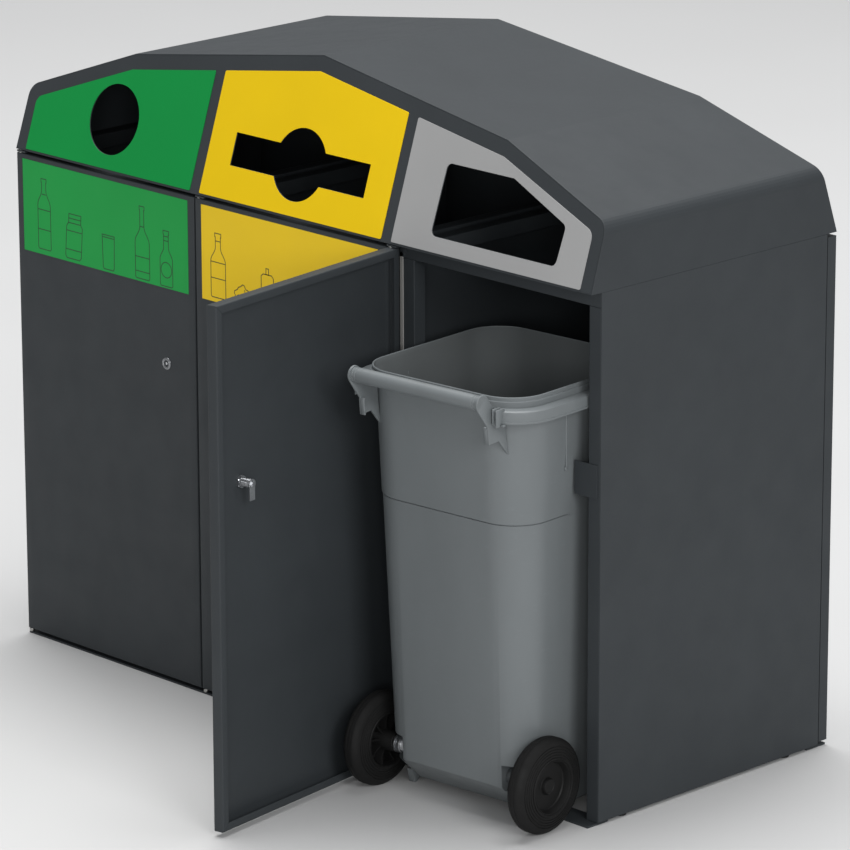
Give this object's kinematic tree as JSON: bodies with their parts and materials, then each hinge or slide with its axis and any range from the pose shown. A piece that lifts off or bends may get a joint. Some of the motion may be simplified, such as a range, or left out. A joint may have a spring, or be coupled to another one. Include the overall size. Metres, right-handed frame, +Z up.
{
  "type": "recycling bin station",
  "caption": "Steel recycling station with a sloped hood, coloured apertures, lockable doors and wheeled bins; one door open, one bin rolled out.",
  "frame": {"origin": "centre of the rectangle of floor anchor holes, on the floor, which is also the centre of the housing's footprint", "axes": "+X to the right of a person facing the doors, -Y towards that person, +Z up"},
  "size_m": [1.75, 1.2817, 1.4399],
  "materials": {
    "powder_coat": "anthracite fine-texture powder coat",
    "green_paint": "satin green coat",
    "yellow_paint": "satin yellow coat",
    "grey_paint": "satin light grey coat",
    "green_film": "satin green film",
    "yellow_film": "satin yellow film",
    "grey_film": "satin light grey film",
    "bin_plastic": "fine-grained grey polyethylene",
    "tyre_rubber": "matte black solid rubber",
    "black_plastic": "matte black",
    "stainless": "brushed",
    "zinc": "zinc plated",
    "chrome": "bright"
  },
  "bodies": {
    "housing": {"base_plates": "powder_coat", "levelling_feet": "black_plastic", "frame_posts": "powder_coat", "top_cross_rails": "powder_coat", "top_side_rails": "powder_coat", "bottom_side_rails": "powder_coat", "side_panel_left": "powder_coat", "side_panel_right": "powder_coat", "partition_left": "powder_coat", "partition_right": "powder_coat", "rear_panel_left": "powder_coat", "rear_panel_middle": "powder_coat", "rear_panel_right": "powder_coat", "roof_skin": "powder_coat", "hood_front": "powder_coat", "hood_rear": "powder_coat", "aperture_panel_left": "green_paint", "aperture_panel_middle": "yellow_paint", "aperture_panel_right": "grey_paint", "pivot_brackets": "powder_coat", "pivot_bushes": "stainless", "strike_plates": "powder_coat", "hood_bolts": "zinc", "hood_nuts": "zinc"},
    "door_left": {"door_left": "powder_coat", "door_label_left": "green_film", "pivot_pins_left": "stainless", "lock_housing_left": "chrome", "lock_nut_left": "zinc"},
    "lock_cam_left": {"lock_cam_left": "zinc"},
    "bin_left": {"bin_tub_left": "bin_plastic", "bin_axle_left": "zinc"},
    "wheel_left_a": {"tyre_left_a": "tyre_rubber", "hub_left_a": "black_plastic"},
    "wheel_left_b": {"tyre_left_b": "tyre_rubber", "hub_left_b": "black_plastic"},
    "door_middle": {"door_middle": "powder_coat", "door_label_middle": "yellow_film", "pivot_pins_middle": "stainless", "lock_housing_middle": "chrome", "lock_nut_middle": "zinc"},
    "lock_cam_middle": {"lock_cam_middle": "zinc"},
    "bin_middle": {"bin_tub_middle": "bin_plastic", "bin_axle_middle": "zinc"},
    "wheel_middle_a": {"tyre_middle_a": "tyre_rubber", "hub_middle_a": "black_plastic"},
    "wheel_middle_b": {"tyre_middle_b": "tyre_rubber", "hub_middle_b": "black_plastic"},
    "door_right": {"door_right": "powder_coat", "door_label_right": "grey_film", "pivot_pins_right": "stainless", "lock_housing_right": "chrome", "lock_nut_right": "zinc"},
    "lock_cam_right": {"lock_cam_right": "zinc"},
    "bin_right_axle": {"bin_axle_right": "zinc"},
    "bin_right": {"bin_tub_right": "bin_plastic"},
    "wheel_right_a": {"tyre_right_a": "tyre_rubber", "hub_right_a": "black_plastic"},
    "wheel_right_b": {"tyre_right_b": "tyre_rubber", "hub_right_b": "black_plastic"}
  },
  "joints": [
    {"name": "door_left_hinge", "type": "hinge", "parent": "housing", "child": "door_left", "pos_m": [-0.8665, -0.3535, 0.55], "axis": [0, 0, -1], "range_deg": [0, 110]},
    {"name": "lock_left_turn", "type": "hinge", "parent": "door_left", "child": "lock_cam_left", "pos_m": [-0.38767, -0.36, 0.722], "axis": [0, -1, 0], "range_deg": [0, 90]},
    {"name": "bin_left_roll", "type": "slide", "parent": "housing", "child": "bin_left", "axis": [0, -1, 0], "range_m": [-0.06, 0.015]},
    {"name": "wheel_left_a_spin", "type": "hinge", "parent": "bin_left", "child": "wheel_left_a", "pos_m": [-0.80183, -0.145, 0.1], "axis": [1, 0, 0], "continuous": true},
    {"name": "wheel_left_b_spin", "type": "hinge", "parent": "bin_left", "child": "wheel_left_b", "pos_m": [-0.36383, -0.145, 0.1], "axis": [1, 0, 0], "continuous": true},
    {"name": "door_middle_hinge", "type": "hinge", "parent": "housing", "child": "door_middle", "pos_m": [-0.28317, -0.3535, 0.55], "axis": [0, 0, -1], "range_deg": [0, 110]},
    {"name": "lock_middle_turn", "type": "hinge", "parent": "door_middle", "child": "lock_cam_middle", "pos_m": [0.19567, -0.36, 0.722], "axis": [0, -1, 0], "range_deg": [0, 90]},
    {"name": "bin_middle_roll", "type": "slide", "parent": "housing", "child": "bin_middle", "axis": [0, -1, 0], "range_m": [-0.06, 0.015]},
    {"name": "wheel_middle_a_spin", "type": "hinge", "parent": "bin_middle", "child": "wheel_middle_a", "pos_m": [-0.20875, -0.145, 0.1], "axis": [1, 0, 0], "continuous": true},
    {"name": "wheel_middle_b_spin", "type": "hinge", "parent": "bin_middle", "child": "wheel_middle_b", "pos_m": [0.22925, -0.145, 0.1], "axis": [1, 0, 0], "continuous": true},
    {"name": "door_right_hinge", "type": "hinge", "parent": "housing", "child": "door_right", "pos_m": [0.30017, -0.3535, 0.55], "axis": [0, 0, -1], "range_deg": [-4, 28]},
    {"name": "lock_right_turn", "type": "hinge", "parent": "door_right", "child": "lock_cam_right", "pos_m": [0.36037, -0.82858, 0.722], "axis": [-0.9903, -0.1392, 0], "range_deg": [0, 90]},
    {"name": "bin_right_roll", "type": "slide", "parent": "housing", "child": "bin_right_axle", "axis": [0.0854, -0.9963, 0], "range_m": [0, 0.35]},
    {"name": "bin_right_tilt", "type": "hinge", "parent": "bin_right_axle", "child": "bin_right", "pos_m": [0.603, -0.452, 0.1], "axis": [0.9963, 0.0854, 0], "range_deg": [0, 45]},
    {"name": "wheel_right_a_spin", "type": "hinge", "parent": "bin_right_axle", "child": "wheel_right_a", "pos_m": [0.3848, -0.47071, 0.1], "axis": [0.9963, 0.0854, 0], "continuous": true},
    {"name": "wheel_right_b_spin", "type": "hinge", "parent": "bin_right_axle", "child": "wheel_right_b", "pos_m": [0.8212, -0.43329, 0.1], "axis": [0.9963, 0.0854, 0], "continuous": true}
  ],
  "couplings": [
    {"joint": "wheel_left_a_spin", "follows": "bin_left_roll", "rad_per_m": 10},
    {"joint": "wheel_left_b_spin", "follows": "bin_left_roll", "rad_per_m": 10},
    {"joint": "wheel_middle_a_spin", "follows": "bin_middle_roll", "rad_per_m": 10},
    {"joint": "wheel_middle_b_spin", "follows": "bin_middle_roll", "rad_per_m": 10},
    {"joint": "wheel_right_a_spin", "follows": "bin_right_roll", "rad_per_m": 10},
    {"joint": "wheel_right_b_spin", "follows": "bin_right_roll", "rad_per_m": 10}
  ]
}
